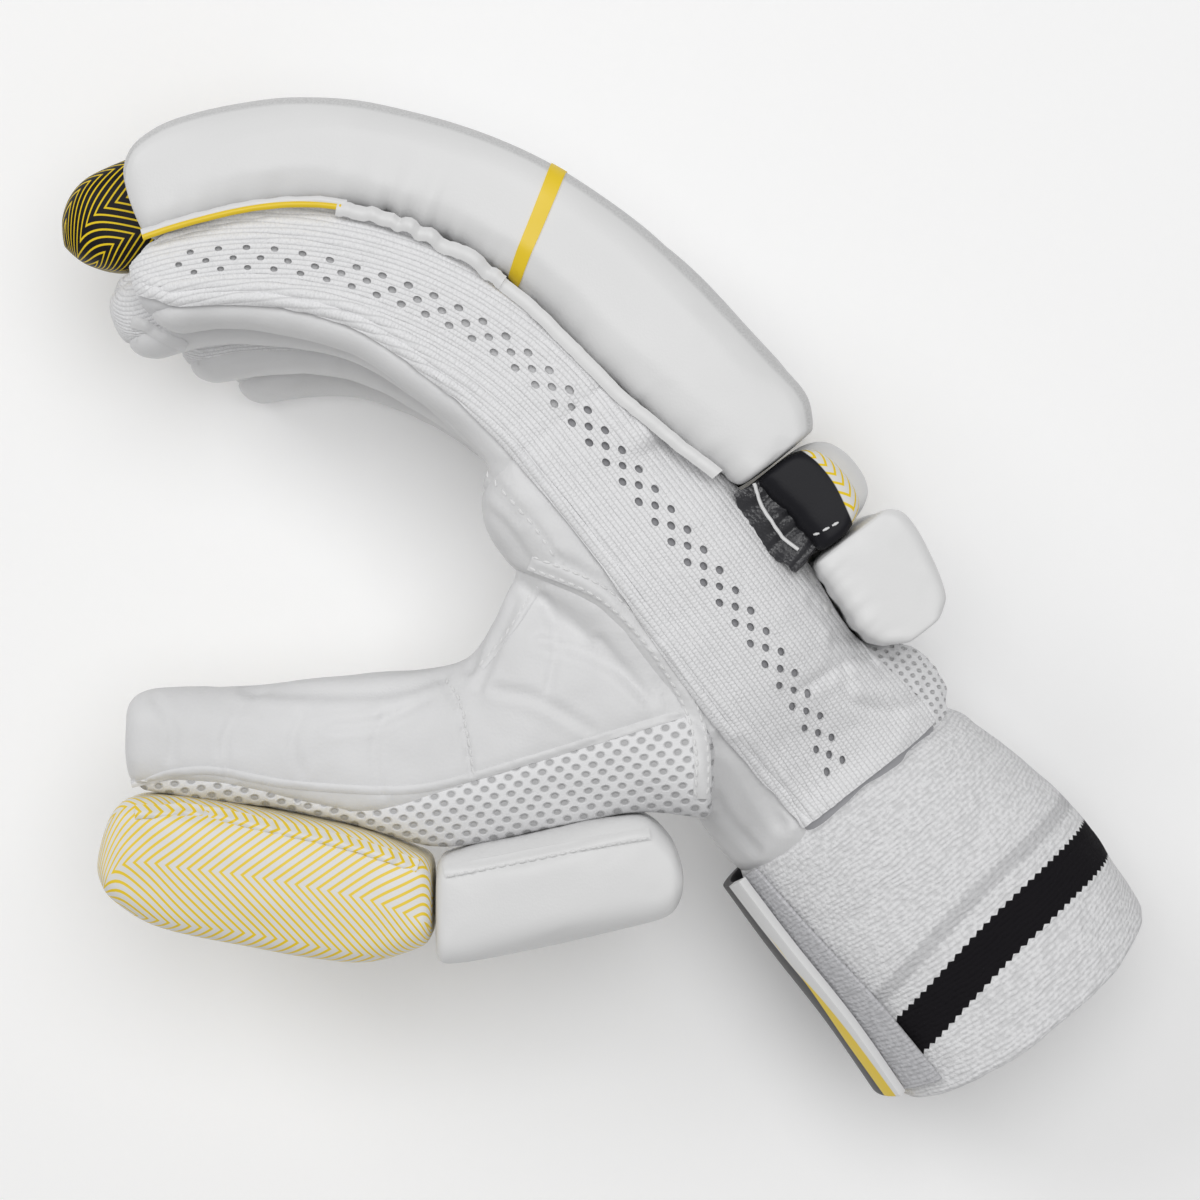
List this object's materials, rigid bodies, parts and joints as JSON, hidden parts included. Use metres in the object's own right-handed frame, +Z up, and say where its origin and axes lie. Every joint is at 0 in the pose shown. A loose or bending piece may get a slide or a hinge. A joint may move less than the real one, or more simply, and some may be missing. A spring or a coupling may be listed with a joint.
{
  "type": "cricket batting glove",
  "caption": "Right-hand cricket batting glove with long curved foam finger rolls, knitted perforated side gussets, leather palm, padded thumb stall and elastic knitted cuff with strap.",
  "frame": {"origin": "centre of the bounding box in plan, on the surface that the glove lies on", "axes": "+X from the fingertips' side towards the cuff's side along the longest extent, +Y from the thumb towards the back of the fingers, +Z up from the little finger to the index finger"},
  "size_m": [0.2807, 0.2544, 0.0975],
  "materials": {
    "palm_white": "matt, finely grained",
    "knit_white": "ribbed knit with rows of small holes",
    "mesh_white": "hexagonal mesh",
    "pad_white": "smooth, semi-matt",
    "pad_black": "semi-matt with thin yellow lines",
    "pad_lined": "semi-matt with thin yellow lines",
    "seam_piping": "folded edge with stitches",
    "cuff_knit": "elastic knit with a black stripe",
    "strap_cloth": "smooth coated cloth"
  },
  "bodies": {
    "root": {"palm_leather": "palm_white", "back_panel": "knit_white", "index_side_gusset": "knit_white", "little_side_gusset": "knit_white", "little_leather": "palm_white", "little_gusset": "knit_white", "little_back": "knit_white", "ring_leather": "palm_white", "ring_gusset": "knit_white", "ring_back": "knit_white", "middle_leather": "palm_white", "middle_gusset": "knit_white", "middle_back": "knit_white", "index_leather": "palm_white", "index_gusset": "knit_white", "index_back": "knit_white", "thumb_leather": "palm_white", "thumb_mesh": "mesh_white", "cuff": "cuff_knit", "cuff_strap": "strap_cloth", "index_seam_flange": "seam_piping", "little_roll": "pad_white", "little_knuckle_pad": "pad_lined", "ring_roll": "pad_white", "ring_knuckle_pad": "pad_white", "ring_tip_cap": "pad_black", "middle_roll": "pad_white", "middle_knuckle_pad": "pad_white", "middle_tip_cap": "pad_black", "index_roll": "pad_white", "index_knuckle_pad": "pad_lined", "back_block_ulnar": "pad_white", "back_block_middle": "pad_white", "back_block_radial": "pad_white", "thumb_tip_pad": "pad_lined", "thumb_rear_pad": "pad_white"}
  },
  "joints": []
}
